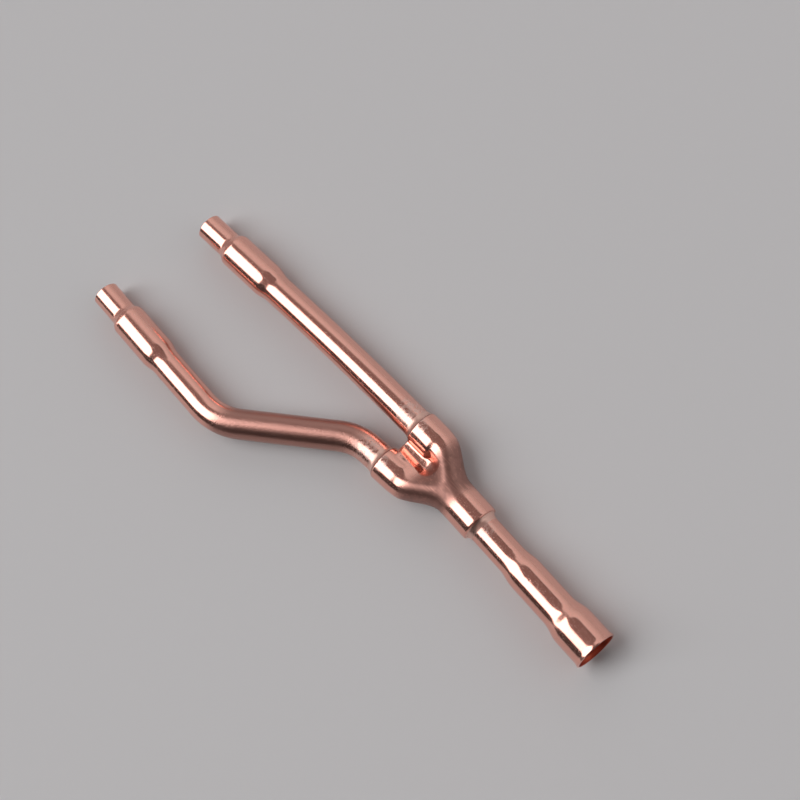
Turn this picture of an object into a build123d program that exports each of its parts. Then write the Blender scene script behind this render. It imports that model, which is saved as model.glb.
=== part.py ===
# Refrigerant branch joint: a pressed copper body splits one trunk tube into two branch tubes,
# and each tube is brazed into its socket.
# Everything is in millimetres and is drawn in the joint's own flat mid-plane, z = 0. The trunk's
# axis runs along +X and the neck's mouth is at x = 0. The branches point towards -X, the straight
# one on the +Y side. At the end the joint is laid down on the floor, z = 0.

from build123d import *
import os
from math import cos, pi, radians, sin, tan

os.makedirs("parts", exist_ok=True)

# Outer diameters of the pipes that the joint takes, and of its own tube
line_pipe = 15.88
tube_pipe = 12.7
branch_pipe = 9.52

# Walls, and the gap round a pipe in its socket that the brazing alloy is drawn into
tube_wall = 0.95
tip_wall = 0.85
neck_wall = 1.85
leg_wall = 1.2
body_wall = 1.2
socket_gap = 0.1

# Pressed body, measured back from the neck's mouth
neck_depth = 12.0
neck_length = 14.5
flank_length = 20.0
leg_length = 11.1
leg_depth = 9.0
leg_shoulder = 4.5
neck_passage = 5.2
leg_passage = 5.1
oval_height = 14.9
straight_offset = 8.6
bent_offset = 11.75
straight_lean = 2.4
bent_lean = 5.0
lip_chamfer = 0.25

# Pinched middle: a valley between the legs in both faces, and in its bed a pocket that leaves a
# web between the legs
valley_start = 20.0
valley_full = 31.0
valley_depth = 5.0
web_thickness = 2.6
web_setback = 0.6
web_lip = 7.2
bill_length = 4.0
pocket_floor = 2.0
pocket_mouth = 10.6
floor_end = 32.3
mouth_end = 25.4
pocket_offset = 0.3
pocket_wall = 1.4

# Trunk tube: neck run, swelled middle and open end, with a long soft step before each
neck_run = 17.5
middle_step = 10.0
middle_run = 17.0
line_step = 10.5
line_run = 11.8
rim_flare = 0.35
rim_length = 2.4

# Both branch ends: swelled middle socket, short step, tip socket
branch_step = 8.0
branch_middle = 18.0
tip_step = 5.0
tip_run = 12.4
edge_chamfer = 0.25

# Straight branch: it has taken a slight bow beyond its socket
straight_lead = 12.0
bow_length = 60.0
bow_angle = 2.0
straight_end = 13.4

# Bent branch: out of its leg, away from the trunk's axis, and back in line with it
bent_lead = 7.0
first_radius = 25.0
run_angle = 39.5
slant_run = 42.8
second_radius = 27.0
bent_end = 24.3
end_angle = 0.0

# Brazing alloy: film drawn into each gap, and the fillet left at the lip
film_depth = 7.0
fillet_length = 2.8
neck_fillet_height = 1.2
leg_fillet_height = 1.0
# Where the fillet's hollow is drawn to, as shares of its length and height
hollow_along = 0.3
hollow_up = 0.2

# Radii that follow from the sizes above
tube_radius = tube_pipe / 2
tube_bore = tube_radius - tube_wall
socket_bore = tube_radius + socket_gap
middle_radius = socket_bore + tube_wall
line_bore = line_pipe / 2 + socket_gap
line_radius = line_bore + tube_wall
tip_bore = branch_pipe / 2 + socket_gap
tip_radius = tip_bore + tip_wall
neck_radius = socket_bore + neck_wall
leg_radius = socket_bore + leg_wall
oval_radius = oval_height / 2

# Places along the body
oval_x = -(neck_length + flank_length)
mouth_x = oval_x - leg_length
web_x = mouth_x + web_setback
bill_x = web_x + bill_length


def outward(lean):
    """Direction out of a leg's mouth that leans by an angle from -X towards -Y."""
    return Vector(-cos(radians(lean)), -sin(radians(lean)), 0)


def leg_centre(offset, lean, x):
    """Height across the joint of a leg's axis at a place along the body."""
    return offset + (x - mouth_x) * tan(radians(lean))


def leg_plane(offset, lean):
    """Plane along a leg's axis, x out of the mouth, with its origin at the mouth's centre."""
    return Plane(origin=(mouth_x, offset, 0), x_dir=outward(lean), z_dir=(0, 0, 1))


def soft_run(*stations):
    """Draw a tube's wall line, level where the radius stays and an S curve where it changes."""
    for (x0, r0), (x1, r1) in zip(stations, stations[1:]):
        if r0 == r1:
            Line((x0, r0), (x1, r1))
        else:
            middle = (x0 + x1) / 2
            Bezier((x0, r0), (middle, r0), (middle, r1), (x1, r1))


def smooth(t):
    """Ease from 0 to 1 with a level start and a level end."""
    return t * t * (3 - 2 * t)


straight_plane = leg_plane(straight_offset, straight_lean)
bent_plane = leg_plane(-bent_offset, bent_lean)

# Sections that the lofts run through, and half the angle of the round one's crown
flank_steps = 9
chamber_steps = 7
bill_steps = 3
pocket_steps = 4
crown_angle = 4.0

# How far a form runs into the next one, so that they fuse, and a cut runs past a face
fuse_depth = 1.0
mouth_overrun = 1.0
face_overrun = 0.2


def round_section(x, radius):
    """Round section across the neck, in four arcs to match the four edges of an oval."""
    with BuildSketch(Plane.YZ.offset(x)) as section:
        with BuildLine():
            for side in (0, 180):
                CenterArc((0, 0), radius, side - 90 + crown_angle, 180 - 2 * crown_angle)
                CenterArc((0, 0), radius, side + 90 - crown_angle, 2 * crown_angle)
        make_face()
    return section.sketch


def body_section(x, first, last, radius):
    """Section across the body, round at both ends, with the valley in its upper and lower edge."""
    pressed = smooth(min(max((-valley_start - x) / (valley_full - valley_start), 0), 1))
    depth = valley_depth * pressed
    reach = (last - first) / 5
    with BuildSketch(Plane.YZ.offset(x)) as section:
        with BuildLine():
            for side, start, step in ((1, last, -reach), (-1, first, reach)):
                face = side * radius
                bed = side * (radius - depth)
                CenterArc((start, 0), radius, -90 * side, 180)
                Bezier((start, face), (start + step, face), (start + 2 * step, bed),
                       (start + 3 * step, bed), (start + 4 * step, face), (start + 5 * step, face))
        make_face()
    return section.sketch


def flank_sections(neck, oval, end, steps):
    """Sections from the round neck to a place among the legs, easing in and out of the widening."""
    sections = [round_section(-neck_length, neck)]
    for step in range(1, steps + 1):
        x = -neck_length + (end + neck_length) * step / steps
        ease = smooth(min((-neck_length - x) / flank_length, 1))
        leg_x = min(x, oval_x)
        sections.append(body_section(x, ease * leg_centre(-bent_offset, bent_lean, leg_x),
                                     ease * leg_centre(straight_offset, straight_lean, leg_x),
                                     neck + ease * (oval - neck)))
    return sections


def bill_sections(steps):
    """Sections from the legs to the web's edge, rounding down like a duck's bill."""
    sections = []
    for step in range(steps + 1):
        t = step / steps
        x = bill_x - bill_length * t
        sections.append(body_section(x, leg_centre(-bent_offset, bent_lean, x),
                                     leg_centre(straight_offset, straight_lean, x),
                                     oval_radius + (web_lip / 2 - oval_radius) * t**3))
    return sections


def pocket_sections(side, base, growth):
    """Outlines of one face's pocket, one above the other, from its bed out past the face."""
    sections = []
    for step in range(pocket_steps + 1):
        v = step / pocket_steps
        half = (pocket_floor + (pocket_mouth - pocket_floor) * v) / 2 + growth * v
        end = -floor_end + (floor_end - mouth_end + growth) * v - half
        height = base + (oval_radius + face_overrun - base) * v**2
        tail = mouth_x - mouth_overrun
        with BuildSketch(Plane(origin=(0, 0, side * height), x_dir=(1, 0, 0),
                               z_dir=(0, 0, side))) as outline:
            with Locations(((end + tail) / 2, side * pocket_offset)):
                SlotCenterToCenter(end - tail, 2 * half)
        sections.append(outline.sketch)
    return sections


# Flow passage inside the body: neck bore, widening chamber and the two leg bores, kept clear
# of the pinch by the wall round it
with BuildPart() as chamber:
    loft(flank_sections(neck_passage, oval_radius - body_wall, oval_x, chamber_steps))
    for side in (1, -1):
        loft(pocket_sections(side, 0, pocket_wall), mode=Mode.SUBTRACT)

with BuildPart() as passage:
    add(chamber.part)
    with BuildSketch(Plane.YZ):
        Circle(socket_bore)
    extrude(amount=-neck_depth)
    with BuildSketch(Plane.YZ.offset(-neck_depth)):
        Circle(neck_passage)
    extrude(amount=-(neck_length - neck_depth))
    for plane in (straight_plane, bent_plane):
        with BuildSketch(plane):
            with BuildLine():
                Polyline((mouth_overrun, 0), (mouth_overrun, socket_bore),
                         (-leg_depth, socket_bore), (-leg_depth, leg_passage),
                         (-leg_length - fuse_depth, leg_passage), (-leg_length - fuse_depth, 0),
                         close=True)
            make_face()
        revolve(axis=Axis(plane.origin, plane.x_dir))

# Pressed body
with BuildPart() as y_body:
    with BuildSketch(Plane.YZ):
        Circle(neck_radius)
    extrude(amount=-neck_length)
    chamfer(y_body.edges().group_by(Axis.X)[-1], lip_chamfer)
    loft(flank_sections(neck_radius, oval_radius, bill_x, flank_steps))
    loft(bill_sections(bill_steps))
    for side in (1, -1):
        loft(pocket_sections(side, web_thickness / 2, 0), mode=Mode.SUBTRACT)
    for plane in (straight_plane, bent_plane):
        with BuildSketch(plane) as leg:
            with BuildLine():
                soft_run((0, leg_radius), (-leg_depth, leg_radius),
                         (-leg_depth - leg_shoulder, leg_passage + body_wall))
                Polyline((-leg_depth - leg_shoulder, leg_passage + body_wall),
                         (-leg_depth - leg_shoulder, 0), (0, 0), (0, leg_radius))
            make_face()
            chamfer(leg.vertices().group_by(Axis.X)[-1].sort_by(Axis.Y)[-1], lip_chamfer)
        revolve(axis=Axis(plane.origin, plane.x_dir))
    add(passage.part, mode=Mode.SUBTRACT)
y_body.part.label = "y_body"

# Trunk tube: neck run, swelled middle, belled open end
middle_x = neck_run + middle_step
line_step_x = middle_x + middle_run
line_x = line_step_x + line_step
rim_x = line_x + line_run - rim_length
trunk_end = line_x + line_run
with BuildPart() as trunk_tube:
    with BuildSketch(Plane.XY):
        with BuildLine():
            soft_run((-neck_depth, tube_radius), (neck_run, tube_radius),
                     (middle_x, middle_radius), (line_step_x, middle_radius),
                     (line_x, line_radius), (rim_x, line_radius),
                     (trunk_end, line_radius + rim_flare))
            Line((trunk_end, line_radius + rim_flare), (trunk_end, line_bore + rim_flare))
            soft_run((-neck_depth, tube_bore), (neck_run, tube_bore),
                     (middle_x, socket_bore), (line_step_x, socket_bore),
                     (line_x, line_bore), (rim_x, line_bore),
                     (trunk_end, line_bore + rim_flare))
            Line((-neck_depth, tube_bore), (-neck_depth, tube_radius))
        make_face()
    revolve(axis=Axis.X)
    chamfer(trunk_tube.edges().filter_by(GeomType.CIRCLE).group_by(Axis.X)[-1], edge_chamfer)
trunk_tube.part.label = "trunk_tube"

# Straight branch tube, swept along its slight bow, with the swelled end turned onto it
with BuildLine() as straight_path:
    seated = Line(straight_plane.from_local_coords((-leg_depth, 0)),
                  straight_plane.from_local_coords((straight_lead, 0)))
    bow = JernArc(seated @ 1, seated % 1, bow_length / radians(bow_angle), bow_angle)
    Line(bow @ 1, (bow @ 1) + (bow % 1) * straight_end)
straight_tip = Plane(straight_path.wire() @ 1, x_dir=straight_path.wire() % 1, z_dir=(0, 0, 1))

# Bent branch tube: two bends the opposite way, so that its end runs beside the straight one
with BuildLine() as bent_path:
    seated = Line(bent_plane.from_local_coords((-leg_depth, 0)),
                  bent_plane.from_local_coords((bent_lead, 0)))
    first_bend = JernArc(seated @ 1, seated % 1, first_radius, run_angle - bent_lean)
    slant = Line(first_bend @ 1, (first_bend @ 1) + (first_bend % 1) * slant_run)
    second_bend = JernArc(slant @ 1, slant % 1, second_radius, end_angle - run_angle)
    Line(second_bend @ 1, (second_bend @ 1) + (second_bend % 1) * bent_end)
bent_tip = Plane(bent_path.wire() @ 1, x_dir=bent_path.wire() % 1, z_dir=(0, 0, 1))

branch_middle_end = branch_step + branch_middle
tip_x = branch_middle_end + tip_step
branch_end = tip_x + tip_run


def branch_end_outline():
    """Half section of a branch's swelled middle socket and its tip socket."""
    soft_run((0, tube_radius), (branch_step, middle_radius), (branch_middle_end, middle_radius),
             (tip_x, tip_radius), (branch_end, tip_radius))
    Line((branch_end, tip_radius), (branch_end, tip_bore))
    soft_run((0, tube_bore), (branch_step, socket_bore), (branch_middle_end, socket_bore),
             (tip_x, tip_bore), (branch_end, tip_bore))
    Line((0, tube_bore), (0, tube_radius))


with BuildPart() as straight_tube:
    with BuildSketch(Plane(straight_path.wire() @ 0, z_dir=straight_path.wire() % 0)):
        Circle(tube_radius)
        Circle(tube_bore, mode=Mode.SUBTRACT)
    sweep(path=straight_path.wire())
    with BuildSketch(straight_tip):
        with BuildLine():
            branch_end_outline()
        make_face()
    revolve(axis=Axis(straight_tip.origin, straight_tip.x_dir))
    rim = straight_tube.edges().filter_by(GeomType.CIRCLE).sort_by(Axis.X)[:2]
    chamfer(rim, edge_chamfer)
straight_tube.part.label = "straight_tube"

with BuildPart() as bent_tube:
    with BuildSketch(Plane(bent_path.wire() @ 0, z_dir=bent_path.wire() % 0)):
        Circle(tube_radius)
        Circle(tube_bore, mode=Mode.SUBTRACT)
    sweep(path=bent_path.wire())
    with BuildSketch(bent_tip):
        with BuildLine():
            branch_end_outline()
        make_face()
    revolve(axis=Axis(bent_tip.origin, bent_tip.x_dir))
    rim = bent_tube.edges().filter_by(GeomType.CIRCLE).sort_by(Axis.X)[:2]
    chamfer(rim, edge_chamfer)
bent_tube.part.label = "bent_tube"


def braze_outline(height):
    """Half section of a brazed ring: the film in the gap and the fillet outside the lip."""
    top = tube_radius + height
    Polyline((fillet_length, tube_radius), (-film_depth, tube_radius),
             (-film_depth, socket_bore), (0, socket_bore), (0, top))
    Bezier((0, top), (fillet_length * hollow_along, tube_radius + height * hollow_up),
           (fillet_length, tube_radius))


with BuildPart() as trunk_braze:
    with BuildSketch(Plane.XY):
        with BuildLine():
            braze_outline(neck_fillet_height)
        make_face()
    revolve(axis=Axis.X)
trunk_braze.part.label = "trunk_braze"

with BuildPart() as straight_braze:
    with BuildSketch(straight_plane):
        with BuildLine():
            braze_outline(leg_fillet_height)
        make_face()
    revolve(axis=Axis(straight_plane.origin, straight_plane.x_dir))
straight_braze.part.label = "straight_braze"

with BuildPart() as bent_braze:
    with BuildSketch(bent_plane):
        with BuildLine():
            braze_outline(leg_fillet_height)
        make_face()
    revolve(axis=Axis(bent_plane.origin, bent_plane.x_dir))
bent_braze.part.label = "bent_braze"

# The joint lies on three points: under the trunk's rim, and under the far end of each branch's
# swelled middle
pieces = (y_body, trunk_tube, straight_tube, bent_tube, trunk_braze, straight_braze, bent_braze)
rim_foot = Vector(trunk_end - edge_chamfer, 0, -line_radius - rim_flare)
straight_foot = straight_tip.from_local_coords((branch_middle_end, 0, -middle_radius))
bent_foot = bent_tip.from_local_coords((branch_middle_end, 0, -middle_radius))
upright = (bent_foot - straight_foot).cross(rim_foot - straight_foot).normalized()
floor = Plane(origin=rim_foot, x_dir=Vector(1, 0, 0), z_dir=upright)
for piece in pieces:
    piece.part.move(floor.location.inverse())
boxes = [piece.part.bounding_box() for piece in pieces]
box_middle = Vector((min(box.min.X for box in boxes) + max(box.max.X for box in boxes)) / 2,
                    (min(box.min.Y for box in boxes) + max(box.max.Y for box in boxes)) / 2,
                    min(box.min.Z for box in boxes))
for piece in pieces:
    piece.part.move(Location(-box_middle))

export_step(y_body.part, "parts/y_body.step")
export_step(trunk_tube.part, "parts/trunk_tube.step")
export_step(straight_tube.part, "parts/straight_tube.step")
export_step(bent_tube.part, "parts/bent_tube.step")
export_step(trunk_braze.part, "parts/trunk_braze.step")
export_step(straight_braze.part, "parts/straight_braze.step")
export_step(bent_braze.part, "parts/bent_braze.step")
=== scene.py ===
# %% [markdown]
# # A copper refrigerant branch joint
# The joint splits one refrigerant line into two. It is all copper: a pressed body, three drawn tubes and
# the rings of alloy that braze them together. Its shapes are exact in the frame that this script loads,
# so the work here is the finish: how bright drawn copper, heat-dulled copper and brazing alloy look.

# %% Load the frame
import math

import bpy
from mathutils import Euler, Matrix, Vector


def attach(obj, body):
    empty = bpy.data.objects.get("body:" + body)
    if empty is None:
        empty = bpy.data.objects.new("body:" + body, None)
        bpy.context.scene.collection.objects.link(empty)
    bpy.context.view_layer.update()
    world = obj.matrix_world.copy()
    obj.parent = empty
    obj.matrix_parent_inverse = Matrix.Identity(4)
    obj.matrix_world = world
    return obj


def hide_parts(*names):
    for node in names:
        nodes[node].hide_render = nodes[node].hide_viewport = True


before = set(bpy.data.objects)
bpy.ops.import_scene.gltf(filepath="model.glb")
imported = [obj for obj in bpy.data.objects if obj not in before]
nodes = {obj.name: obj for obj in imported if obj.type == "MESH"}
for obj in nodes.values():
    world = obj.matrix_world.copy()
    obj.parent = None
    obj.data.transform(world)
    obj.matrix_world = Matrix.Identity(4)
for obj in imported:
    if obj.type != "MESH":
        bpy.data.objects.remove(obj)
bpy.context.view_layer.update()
bpy.ops.object.select_all(action="DESELECT")
mm = 0.001
print("nodes", sorted(nodes))

# %% [markdown]
# The camera comes first, because every comparison with the photograph depends on it. The picture was taken
# from above, from the trunk's end, with a long lens. Its place, its turn and its angle of view were worked
# out from the edges of the tubes, whose diameters are known.

# %% Camera
camera_place = Vector((209.2, 43.1, 678.5)) * mm
camera_degrees = (12.31, 12.48, 48.59)
camera_data = bpy.data.cameras.new("photo_camera")
camera_data.lens = 78.66
camera_data.sensor_width = 36
camera_data.clip_start = 0.01
camera = bpy.data.objects.new("photo_camera", camera_data)
camera.location = camera_place
camera.rotation_euler = Euler([math.radians(angle) for angle in camera_degrees])
bpy.context.scene.collection.objects.link(camera)
bpy.context.scene.camera = camera
print("camera stands", round(camera_place.length / mm), "mm from the joint's middle")

# %% [markdown]
# Everything from here on is made of shader nodes, in the sky, in the effects and in the finishes alike. A few
# helpers add one node each and link it, so that the cells below read like sums.

# %% Node helpers
# Where a colour mix node keeps its two colours and its result
mix_first, mix_second, mix_result = 6, 7, 2


def give(tree, socket, value):
    """Links a socket to the value if that is a socket too, and else sets it to the value."""
    if isinstance(value, bpy.types.NodeSocket):
        tree.links.new(value, socket)
    else:
        socket.default_value = value


def math_node(tree, operation, *values):
    """One sum or product of values."""
    node = tree.nodes.new("ShaderNodeMath")
    node.operation = operation
    for socket, value in zip(node.inputs, values):
        give(tree, socket, value)
    return node.outputs[0]


def vector_node(tree, operation, *values):
    """One sum of vectors. A dot product or a distance comes out as a value."""
    node = tree.nodes.new("ShaderNodeVectorMath")
    node.operation = operation
    for socket, value in zip(node.inputs, values):
        give(tree, socket, value)
    single = operation in ("DOT_PRODUCT", "DISTANCE")
    return node.outputs["Value" if single else "Vector"]


def soft_step(tree, value, start, full, start_value=0.0, full_value=1.0):
    """Eases from one value, on start's side, to another, on full's side. Start may lie above full."""
    node = tree.nodes.new("ShaderNodeMapRange")
    node.interpolation_type = "SMOOTHSTEP"
    give(tree, node.inputs["Value"], value)
    give(tree, node.inputs["From Min"], start)
    give(tree, node.inputs["From Max"], full)
    give(tree, node.inputs["To Min"], start_value)
    give(tree, node.inputs["To Max"], full_value)
    return node.outputs["Result"]


def mixed(tree, share, first, second):
    """The second colour laid over the first, by a share."""
    node = tree.nodes.new("ShaderNodeMix")
    node.data_type = "RGBA"
    give(tree, node.inputs["Factor"], share)
    give(tree, node.inputs[mix_first], first)
    give(tree, node.inputs[mix_second], second)
    return node.outputs[mix_result]


print("an eased step, two kinds of sum and a mix stand ready")

# %% [markdown]
# Polished metal has no colour of its own in a picture: it shows what stands round it. So the studio is made
# for its reflections. Lamps near the joint would show at another place in each tube, so the studio is painted
# on the sky instead, far away, as bands with soft edges. First comes the dim room. Its low part gives the
# brown bands on the tubes. It is a little lighter overhead and behind.

# %% Room
low_grey = (0.06, 0.055, 0.055, 1)
ceiling_grey = (0.22, 0.18, 0.175, 1)
rear_grey = (0.33, 0.3, 0.3, 1)
# Each edge is a pair of heights or sides in the sky: where a band starts, and where it is full
ceiling_edge = (0.72, 0.8)
rear_edge = (-0.46, -0.6)

world = bpy.data.worlds.new("studio")
bpy.context.scene.world = world
world.use_nodes = True
sky = world.node_tree
direction = sky.nodes.new("ShaderNodeTexCoord")
sides = sky.nodes.new("ShaderNodeSeparateXYZ")
sky.links.new(direction.outputs["Generated"], sides.inputs[0])
sky_x, sky_y, sky_z = sides.outputs
room = mixed(sky, soft_step(sky, sky_z, *ceiling_edge), low_grey, ceiling_grey)
room = mixed(sky, soft_step(sky, sky_x, *rear_edge), room, rear_grey)
print("room runs from", low_grey[0], "to", rear_grey[0])

# %% [markdown]
# Opposite the bright side a wide, pale wall gives the pink band along the far side of every tube. It stands
# between the side and a slanting line below the zenith, and it is brighter higher up.

# %% Fill
fill_side = (0.28, 0.4)
fill_slant = 0.36
fill_top = (0.97, 0.92)
fill_heights = (-0.1, 0.75)
fill_radiance = (0.42, 0.7)

slanted_height = math_node(sky, "ADD", sky_z, math_node(sky, "MULTIPLY", sky_y, fill_slant))
fill_shape = math_node(sky, "MULTIPLY", soft_step(sky, sky_y, *fill_side),
                       soft_step(sky, slanted_height, *fill_top))
fill_level = soft_step(sky, sky_z, *fill_heights, *fill_radiance)
fill_colour = sky.nodes.new("ShaderNodeCombineXYZ")
for socket in fill_colour.inputs:
    sky.links.new(fill_level, socket)
room = mixed(sky, fill_shape, room, fill_colour.outputs[0])
print("fill rises from", fill_radiance[0], "to", fill_radiance[1])

# %% [markdown]
# A bright softbox on the bent branch's side gives the hard white strip along every straight run. Its upper
# edge slants, because the strips' own upper edges shift from one tube to the next. Its right edge is level
# with the trunk's open end, so a surface that slants across the joint sees little of it.

# %% Softbox
softbox_radiance = 3.0
softbox_right = (-0.1, -0.12)
softbox_left = (-0.64, -0.6)
softbox_low = (-0.82, -0.78)
softbox_slant = 0.74
softbox_top = (-0.33, -0.355)
softbox_floor = (0.02, 0.06)

leaning = math_node(sky, "ADD", sky_y, math_node(sky, "MULTIPLY", sky_x, softbox_slant))
softbox_shape = 1.0
for place, edge in ((sky_x, softbox_right), (sky_x, softbox_left), (sky_y, softbox_low),
                    (leaning, softbox_top), (sky_z, softbox_floor)):
    softbox_shape = math_node(sky, "MULTIPLY", softbox_shape, soft_step(sky, place, *edge))
room = mixed(sky, softbox_shape, room, (softbox_radiance, softbox_radiance, softbox_radiance, 1))
sky.links.new(room, sky.nodes["Background"].inputs["Color"])
print("softbox shines at", softbox_radiance)

# %% [markdown]
# The joint lies on a plain pale floor, a sheet so wide that its rim is out of sight. It is matt, so it takes
# a soft shadow and throws a little light back at the undersides.

# %% Floor
floor_size = 8
floor_colour = (0.72, 0.72, 0.73, 1)
floor_roughness = 0.6
bpy.ops.mesh.primitive_plane_add(size=floor_size, location=(0, 0, 0))
floor = bpy.context.object
floor.name = "floor"
floor_paint = bpy.data.materials.new("floor_paint")
floor_paint.use_nodes = True
floor_shader = floor_paint.node_tree.nodes["Principled BSDF"]
floor_shader.inputs["Base Color"].default_value = floor_colour
floor_shader.inputs["Roughness"].default_value = floor_roughness
floor.data.materials.append(floor_paint)
bpy.context.scene.view_settings.view_transform = "Standard"
print("floor is", floor_size, "m wide")

# %% [markdown]
# Several effects recur over all this copper, so each is a node group that is built once. The groups measure
# in millimetres, so that a value means the same on every piece, and they read the frame's own coordinates,
# so that a pattern stays on its piece.

# %% Group helpers
def new_group(name, vectors_in, values_in, values_out):
    """An empty group with named sockets. It comes back with its two end nodes."""
    group = bpy.data.node_groups.new(name, "ShaderNodeTree")
    for label in vectors_in:
        group.interface.new_socket(label, in_out="INPUT", socket_type="NodeSocketVector")
    for label in values_in:
        group.interface.new_socket(label, in_out="INPUT", socket_type="NodeSocketFloat")
    for label in values_out:
        group.interface.new_socket(label, in_out="OUTPUT", socket_type="NodeSocketFloat")
    return group, group.nodes.new("NodeGroupInput").outputs, group.nodes.new("NodeGroupOutput").inputs


def noise(group, place, scale, detail):
    """Cloudy noise round a half. Its scale is in patches for each millimetre."""
    node = group.nodes.new("ShaderNodeTexNoise")
    give(group, node.inputs["Vector"], place)
    give(group, node.inputs["Scale"], scale)
    give(group, node.inputs["Detail"], detail)
    return node.outputs["Fac"]


def millimetres(group):
    """The point on the piece, in millimetres from the frame's origin."""
    source = group.nodes.new("ShaderNodeTexCoord")
    return vector_node(group, "MULTIPLY", source.outputs["Object"], (1 / mm, 1 / mm, 1 / mm))


print("a point is measured in units of", mm, "m")

# %% [markdown]
# Tube is drawn through a die and then brushed, and both leave fine lines along it. Noise that is stretched
# along the tube makes them. The stretch can be turned about the upright axis, for a tube that lies askew.

# %% Draw lines
lines_group, given, result = new_group("draw_lines", (), ("Turn", "Spacing", "Length"), ("Lines",))
turned = lines_group.nodes.new("ShaderNodeVectorRotate")
turned.rotation_type = "Z_AXIS"
give(lines_group, turned.inputs["Vector"], millimetres(lines_group))
give(lines_group, turned.inputs["Angle"], math_node(lines_group, "MULTIPLY", given["Turn"], -1))
stretch = lines_group.nodes.new("ShaderNodeCombineXYZ")
give(lines_group, stretch.inputs["X"], math_node(lines_group, "DIVIDE", 1, given["Length"]))
for axis in ("Y", "Z"):
    give(lines_group, stretch.inputs[axis], math_node(lines_group, "DIVIDE", 1, given["Spacing"]))
place = vector_node(lines_group, "MULTIPLY", turned.outputs[0], stretch.outputs[0])
give(lines_group, result["Lines"], noise(lines_group, place, 1, 2))
print("lines take", [socket.name for socket in given if socket.name])

# %% [markdown]
# Worked copper has a grain that shows as a faint unevenness in a mirror-like surface. The same group gives
# the few flecks that stand out of it. They come from the noise's highest peaks, read elsewhere in it, so
# that they don't sit on the grain's own.

# %% Grain
fleck_shift = (31, 17, 5)
fleck_fineness = 1.3
fleck_peak = (0.64, 0.7)
grain_group, given, result = new_group("grain", (), ("Size",), ("Grain", "Flecks"))
scale = math_node(grain_group, "DIVIDE", 1, given["Size"])
place = millimetres(grain_group)
give(grain_group, result["Grain"], noise(grain_group, place, scale, 3))
shifted = vector_node(grain_group, "ADD", place, fleck_shift)
fleck_scale = math_node(grain_group, "MULTIPLY", scale, fleck_fineness)
flecks = noise(grain_group, shifted, fleck_scale, 1)
give(grain_group, result["Flecks"], soft_step(grain_group, flecks, *fleck_peak))
print("flecks shift by", fleck_shift, "mm")

# %% [markdown]
# Beside a brazed lip the torch has dulled the copper. The dull patch is blotchy with a ragged edge, and
# specks of burnt flux sit in it. The patch is a ball round a place, with noise added to its radius, and the
# specks are the middles of some of the cells of a Voronoi pattern.

# %% Heat-dulled copper
ragged_scale, ragged_depth = 0.35, 7
dull_core = 0.45
blotch_scale, blotch_edge = 0.8, (0.3, 0.62)
speck_scale, speck_edge = 0.75, (0.24, 0.1)
speck_choice_scale, speck_choice_edge = 0.6, (0.5, 0.6)

heat_group, given, result = new_group("heat_dulled", ("Place",), ("Reach",), ("Dull", "Specks"))
place = millimetres(heat_group)
away = vector_node(heat_group, "DISTANCE", place, given["Place"])
ragged = noise(heat_group, place, ragged_scale, 3)
ragged = math_node(heat_group, "MULTIPLY_ADD", ragged, ragged_depth, -ragged_depth / 2)
core = math_node(heat_group, "MULTIPLY", given["Reach"], dull_core)
near = soft_step(heat_group, math_node(heat_group, "ADD", away, ragged), given["Reach"], core)
blotch = soft_step(heat_group, noise(heat_group, place, blotch_scale, 3), *blotch_edge)
give(heat_group, result["Dull"], math_node(heat_group, "MULTIPLY", near, blotch))

cells = heat_group.nodes.new("ShaderNodeTexVoronoi")
give(heat_group, cells.inputs["Vector"], place)
give(heat_group, cells.inputs["Scale"], speck_scale)
spots = soft_step(heat_group, cells.outputs["Distance"], *speck_edge)
chosen = soft_step(heat_group, noise(heat_group, place, speck_choice_scale, 1), *speck_choice_edge)
specks = math_node(heat_group, "MULTIPLY", spots, chosen)
give(heat_group, result["Specks"], math_node(heat_group, "MULTIPLY", near, specks))
print("dulling takes", [socket.name for socket in given if socket.name])

# %% [markdown]
# Soft tube picks up small dents in handling. A dent is a smooth hollow round a place, 1 at its middle and 0
# at its radius, and a finish gives it its depth.

# %% Dents
dent_group, given, result = new_group("dent", ("Place",), ("Radius",), ("Hollow",))
away = vector_node(dent_group, "DISTANCE", millimetres(dent_group), given["Place"])
give(dent_group, result["Hollow"], soft_step(dent_group, away, given["Radius"], 0.0))
print("a dent takes", [socket.name for socket in given if socket.name])

# %% [markdown]
# The bores keep a deep red oxide that the bright outside has lost. A tube's wall is one solid, so the finish
# has to tell its inside from its outside. Near an open end it is the part whose surface faces the tube's
# axis, which a dot product of the two tells.

# %% Bores
bore_turn = (-0.4, -1.2)
bore_depth = (-30.0, -22.0)
bore_group, given, result = new_group("bore_face", ("Place", "Axis"), (), ("Inside",))
arm = vector_node(bore_group, "SUBTRACT", millimetres(bore_group), given["Place"])
along = vector_node(bore_group, "DOT_PRODUCT", arm, given["Axis"])
facing = bore_group.nodes.new("ShaderNodeNewGeometry").outputs["True Normal"]
lean = vector_node(bore_group, "DOT_PRODUCT", facing, given["Axis"])
outward = math_node(bore_group, "SUBTRACT", vector_node(bore_group, "DOT_PRODUCT", facing, arm),
                    math_node(bore_group, "MULTIPLY", along, lean))
inward = soft_step(bore_group, outward, *bore_turn)
close = soft_step(bore_group, along, *bore_depth)
give(bore_group, result["Inside"], math_node(bore_group, "MULTIPLY", inward, close))
print("node groups", sorted(group.name for group in bpy.data.node_groups))

# %% [markdown]
# One recipe makes every copper finish. It starts from a plain metal, and each effect lays a colour over it,
# adds to its roughness or adds to its relief. Metal is nearly a mirror, so most of what the eye reads as
# finish is relief, and a few thousandths of a millimetre tell.

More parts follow.
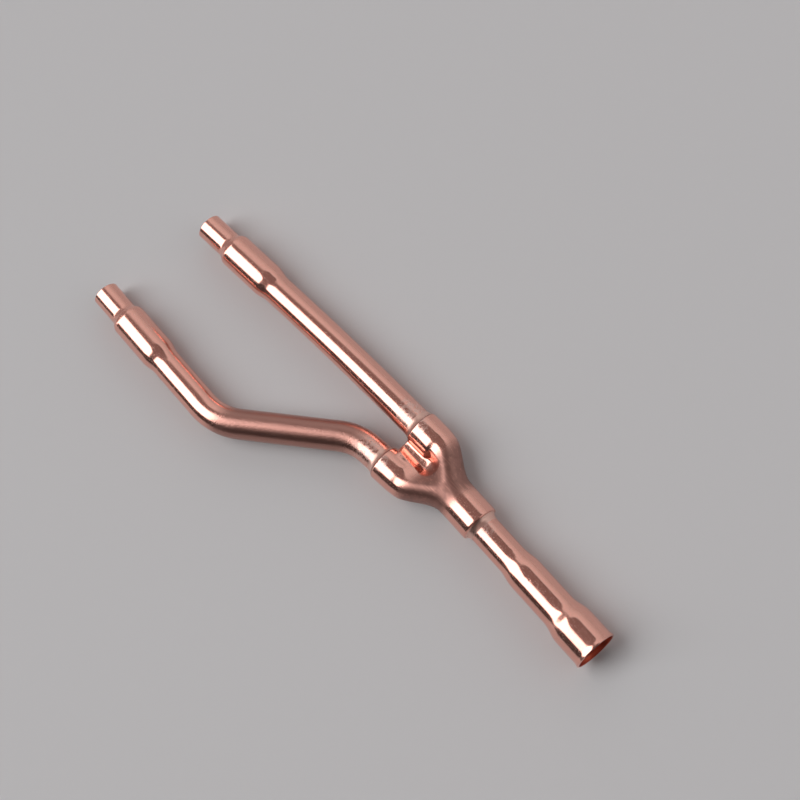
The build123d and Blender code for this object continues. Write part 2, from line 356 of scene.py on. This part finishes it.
# %% Finish recipe
class Finish:
    """A copper material in the making."""

    def __init__(self, name, colour, roughness):
        self.material = bpy.data.materials.new(name)
        self.material.use_nodes = True
        self.tree = self.material.node_tree
        self.shader = self.tree.nodes["Principled BSDF"]
        self.shader.inputs["Metallic"].default_value = 1.0
        self.colour = colour
        self.roughness = roughness
        self.height = 0.0

    def effect(self, group, **values):
        """Places a group with its values and gives back its outputs by name."""
        node = self.tree.nodes.new("ShaderNodeGroup")
        node.node_tree = group
        for label, value in values.items():
            node.inputs[label].default_value = value
        return node.outputs

    def zone(self, *edges):
        """A soft zone: each edge is an axis with where it starts and where it is full, in millimetres."""
        part = self.tree.nodes.new("ShaderNodeSeparateXYZ")
        give(self.tree, part.inputs[0], millimetres(self.tree))
        mask = 1.0
        for axis, start, full in edges:
            edge = soft_step(self.tree, part.outputs[axis], start, full)
            mask = math_node(self.tree, "MULTIPLY", mask, edge)
        return mask

    def within(self, zone, mask):
        """Keeps a mask to a zone."""
        return math_node(self.tree, "MULTIPLY", zone, mask)

    def tint(self, mask, colour, share=1.0):
        """Lays a colour over what is there, by a share of a mask."""
        part_of_mask = math_node(self.tree, "MULTIPLY", mask, share)
        self.colour = mixed(self.tree, part_of_mask, self.colour, colour)

    def roughen(self, mask, amount):
        """Adds to the roughness, by a mask."""
        self.roughness = math_node(self.tree, "MULTIPLY_ADD", mask, amount, self.roughness)

    def emboss(self, mask, height):
        """Adds relief in millimetres, by a mask. A height below 0 sinks it."""
        self.height = math_node(self.tree, "MULTIPLY_ADD", mask, height, self.height)

    def done(self):
        """Links what was gathered and gives back the material."""
        give(self.tree, self.shader.inputs["Base Color"], self.colour)
        give(self.tree, self.shader.inputs["Roughness"], self.roughness)
        bump = self.tree.nodes.new("ShaderNodeBump")
        bump.inputs["Strength"].default_value = 1.0
        bump.inputs["Distance"].default_value = mm
        give(self.tree, bump.inputs["Height"], self.height)
        give(self.tree, self.shader.inputs["Normal"], bump.outputs[0])
        print(self.material.name, "has", len(self.tree.nodes), "nodes")
        return self.material


# %% [markdown]
# Bright drawn copper is where every piece but the brazing starts: draw lines, fine grain and a few pale
# flecks. Three more marks come on top of it where a piece has them.

# %% Drawn copper
copper_colour = (0.93, 0.47, 0.38, 1)
dulled_colour = (0.88, 0.6, 0.53, 1)
oxide_colour = (0.55, 0.1, 0.055, 1)
speck_colour = (0.12, 0.07, 0.06, 1)


def drawn(name, turn=0.0):
    """Bright drawn copper, with its lines turned by an angle from the trunk's direction."""
    finish = Finish(name, copper_colour, 0.1)
    lines = finish.effect(lines_group, Turn=turn, Spacing=0.35, Length=18.0)["Lines"]
    grain = finish.effect(grain_group, Size=0.45)
    finish.roughen(grain["Grain"], 0.08)
    finish.emboss(lines, 0.006)
    finish.emboss(grain["Grain"], 0.009)
    finish.emboss(grain["Flecks"], -0.012)
    finish.tint(grain["Flecks"], dulled_colour, 0.5)
    return finish


def torch_mark(finish, place, reach):
    """Heat-dulled copper beside a brazed lip."""
    heat = finish.effect(heat_group, Place=place, Reach=reach)
    finish.tint(heat["Dull"], dulled_colour, 0.8)
    finish.tint(heat["Specks"], speck_colour, 0.8)
    finish.roughen(heat["Dull"], 0.22)
    finish.emboss(heat["Dull"], 0.01)
    finish.emboss(heat["Specks"], 0.01)


def dent(finish, place, radius, depth):
    """One dent, in millimetres."""
    hollow = finish.effect(dent_group, Place=place, Radius=radius)["Hollow"]
    finish.emboss(hollow, -depth)


def red_bore(finish, place, axis):
    """The red oxide inside an open end, whose middle is at place and which opens along axis."""
    inside = finish.effect(bore_group, Place=place, Axis=axis)["Inside"]
    finish.tint(inside, oxide_colour)
    finish.roughen(inside, 0.2)


print("plain copper is", copper_colour[:3])

# %% [markdown]
# The trunk tube is drawn in three diameters and ends in an open socket. It has a torch mark beside the
# body's neck. Three pairs of small dents show on it: before its first swell, on its middle run and on the
# far side where its open end begins.

# %% Trunk tube
trunk_dents = (
    ((75.9, 22.5, 15.1), 1.5, 0.05),
    ((74.6, 21.6, 15.2), 0.9, 0.04),
    ((87.3, 21.3, 16.4), 1.3, 0.05),
    ((89.4, 20.9, 16.5), 0.8, 0.04),
    ((112.6, 28.6, 14.4), 1.1, 0.05),
    ((114.1, 29.1, 13.2), 0.8, 0.04),
)
trunk = drawn("trunk_copper")
torch_mark(trunk, (62.0, 21.0, 18.0), 7.0)
for place, radius, depth in trunk_dents:
    dent(trunk, place, radius, depth)
red_bore(trunk, (125.6, 21.07, 9.34), (1.0, 0.0, 0.0087))
trunk_copper = trunk.done()

# %% [markdown]
# The straight tube leans a few degrees from the trunk's direction, so its lines are turned as much. It has
# a torch mark beside the body's leg and one wide, shallow dent on the taper before its socket.

# %% Straight tube
straight = drawn("straight_copper", 0.0768)
torch_mark(straight, (7.5, 30.5, 14.0), 8.0)
dent(straight, (-74.4, 25.7, 13.9), 2.2, 0.1)
red_bore(straight, (-115.8, 21.2, 7.25), (-0.997, -0.0767, -0.0085))
straight_copper = straight.done()

# %% [markdown]
# Bending stretches the outside of a tube and roughens it like orange peel, so the zone of the bends gets a
# coarser grain, more roughness and pale flecks. Its slanted run between the two bends is also painted brown:
# painted shade that stands in for the darker reflection there, where the softbox's white strip would
# otherwise show.

# %% Bent tube
# Brown painted shade: it stands in for the darker reflection on the bent tube's slanted run and the body's
# flank.
painted_shade_brown = (0.4, 0.205, 0.17, 1)
bent = drawn("bent_copper", 0.1)
torch_mark(bent, (6.5, 8.5, 14.5), 9.0)
slanted = bent.zone(("X", -52, -44), ("X", 6, -4))
peel = bent.effect(grain_group, Size=0.8)
bent.roughen(slanted, 0.16)
bent.emboss(bent.within(slanted, peel["Grain"]), 0.09)
bent.tint(bent.within(slanted, peel["Flecks"]), dulled_colour, 0.8)
# Painted shade: the slanted run is coloured brown to stand in for its darker reflection.
bent.tint(slanted, painted_shade_brown, 0.85)
dent(bent, (-81.0, -27.5, 14.2), 1.6, 0.06)
red_bore(bent, (-125.5, -30.3, 7.25), (-1.0, 0.0, -0.0087))
bent_copper = bent.done()

# %% [markdown]
# The body's flattened middle was brushed after it was pressed, and between the neck and the legs it is
# rougher and streaked, with a few stains. Its streaks there are painted brown: painted shade that stands in
# for a darker reflection and keeps the softbox's white strip off the flank. The neck and the legs stay
# bright, and the torch has dulled both legs' lips.

# %% Pressed body
painted_shade_streak_edge = (0.0, 0.5)
stain_edge = (0.5, 0.7)
body = drawn("pressed_copper")
brushed_shade_zone = body.zone(("X", 25, 31), ("X", 49, 43))
brush_shade_lines = body.effect(lines_group, Turn=0.0, Spacing=0.5, Length=7.0)["Lines"]
stain = body.effect(grain_group, Size=2.5)["Grain"]
body.roughen(brushed_shade_zone, 0.28)
body.emboss(body.within(brushed_shade_zone, brush_shade_lines), 0.035)
# Painted shade: brown streaks over the flank stand in for its darker reflection.
body.tint(body.within(brushed_shade_zone, soft_step(body.tree, brush_shade_lines, *painted_shade_streak_edge)), painted_shade_brown)
body.tint(body.within(brushed_shade_zone, soft_step(body.tree, stain, *stain_edge)), speck_colour, 0.25)
torch_mark(body, (13.0, 9.0, 17.0), 6.0)
torch_mark(body, (13.0, 30.0, 17.0), 6.0)
pressed_copper = body.done()

# %% [markdown]
# Brazing alloy is copper with a little phosphorus. It runs into the gap while it is liquid and sets as a
# smooth, gently lumpy fillet, paler than the tube. So it has no draw lines, but a coarse relief, a fine one
# and a few dark flecks.

# %% Brazing alloy
alloy_colour = (0.9, 0.56, 0.47, 1)
braze = Finish("brazing_alloy", alloy_colour, 0.22)
flow = braze.effect(grain_group, Size=1.6)
fine = braze.effect(grain_group, Size=0.4)
braze.emboss(flow["Grain"], 0.06)
braze.emboss(fine["Grain"], 0.006)
braze.roughen(fine["Grain"], 0.2)
braze.tint(flow["Flecks"], speck_colour, 0.35)
brazing_alloy = braze.done()

# %% [markdown]
# A press leaves no sharp corner in thick copper, so the body that is seen is a softened copy of the exact
# one. A bevel would need clean edges, and the pocket's mouth is a line between many slim triangles. So the
# copy is made anew from small even faces, and smoothing then rounds its edges.

# %% Softened body
face_size = 0.3 * mm
merge_distance = 0.001 * mm
soft_body = bpy.data.objects.new("softened_body", nodes["y_body"].data.copy())
bpy.context.scene.collection.objects.link(soft_body)
bpy.ops.object.select_all(action="DESELECT")
soft_body.select_set(True)
bpy.context.view_layer.objects.active = soft_body
bpy.ops.object.mode_set(mode="EDIT")
bpy.ops.mesh.select_all(action="SELECT")
bpy.ops.mesh.remove_doubles(threshold=merge_distance)
bpy.ops.object.mode_set(mode="OBJECT")
evened = soft_body.modifiers.new("evened", "REMESH")
evened.mode = "VOXEL"
evened.voxel_size = face_size
rounded = soft_body.modifiers.new("rounded", "SMOOTH")
rounded.factor = 0.5
rounded.iterations = 10
for modifier in ("evened", "rounded"):
    bpy.ops.object.modifier_apply(modifier=modifier)
print("softened body has", len(soft_body.data.polygons), "faces")

# %% [markdown]
# Where the legs begin, the real body runs on without a break, so the legs' shoulders are smoothed much
# further. A weight limits that to a band across the legs. It fades out along them and stops short of the
# web, whose pocket keeps its form.

# %% Shoulders
shoulder_middle = 22.8
shoulder_reach = 5.5
shoulder_core = 2
web_middle = 19.7
web_half = 6.0
web_fade = 2
shoulders = soft_body.vertex_groups.new(name="shoulders")
for vertex in soft_body.data.vertices:
    along = 1 - abs(vertex.co.x / mm - shoulder_middle) / shoulder_reach
    aside = (abs(vertex.co.y / mm - web_middle) - web_half) / web_fade
    weight = min(1.0, shoulder_core * along, aside)
    if weight > 0:
        shoulders.add([vertex.index], weight, "REPLACE")
eased = soft_body.modifiers.new("eased", "SMOOTH")
eased.vertex_group = "shoulders"
eased.factor = 0.5
eased.iterations = 80
bpy.ops.object.modifier_apply(modifier="eased")
bpy.ops.object.shade_smooth()
bpy.ops.object.select_all(action="DESELECT")
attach(soft_body, "root")
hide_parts("y_body")
print("shoulders are smoothed round x =", shoulder_middle, "mm")

# %% [markdown]
# Now each piece takes its finish. The exact body is hidden, and it gets the same finish as its softened
# copy.

# %% Dress the pieces
dressed = (
    (soft_body, pressed_copper),
    (nodes["y_body"], pressed_copper),
    (nodes["trunk_tube"], trunk_copper),
    (nodes["straight_tube"], straight_copper),
    (nodes["bent_tube"], bent_copper),
    (nodes["trunk_braze"], brazing_alloy),
    (nodes["straight_braze"], brazing_alloy),
    (nodes["bent_braze"], brazing_alloy),
)
for piece, material in dressed:
    piece.data.materials.clear()
    piece.data.materials.append(material)
    print(piece.name, "wears", material.name)
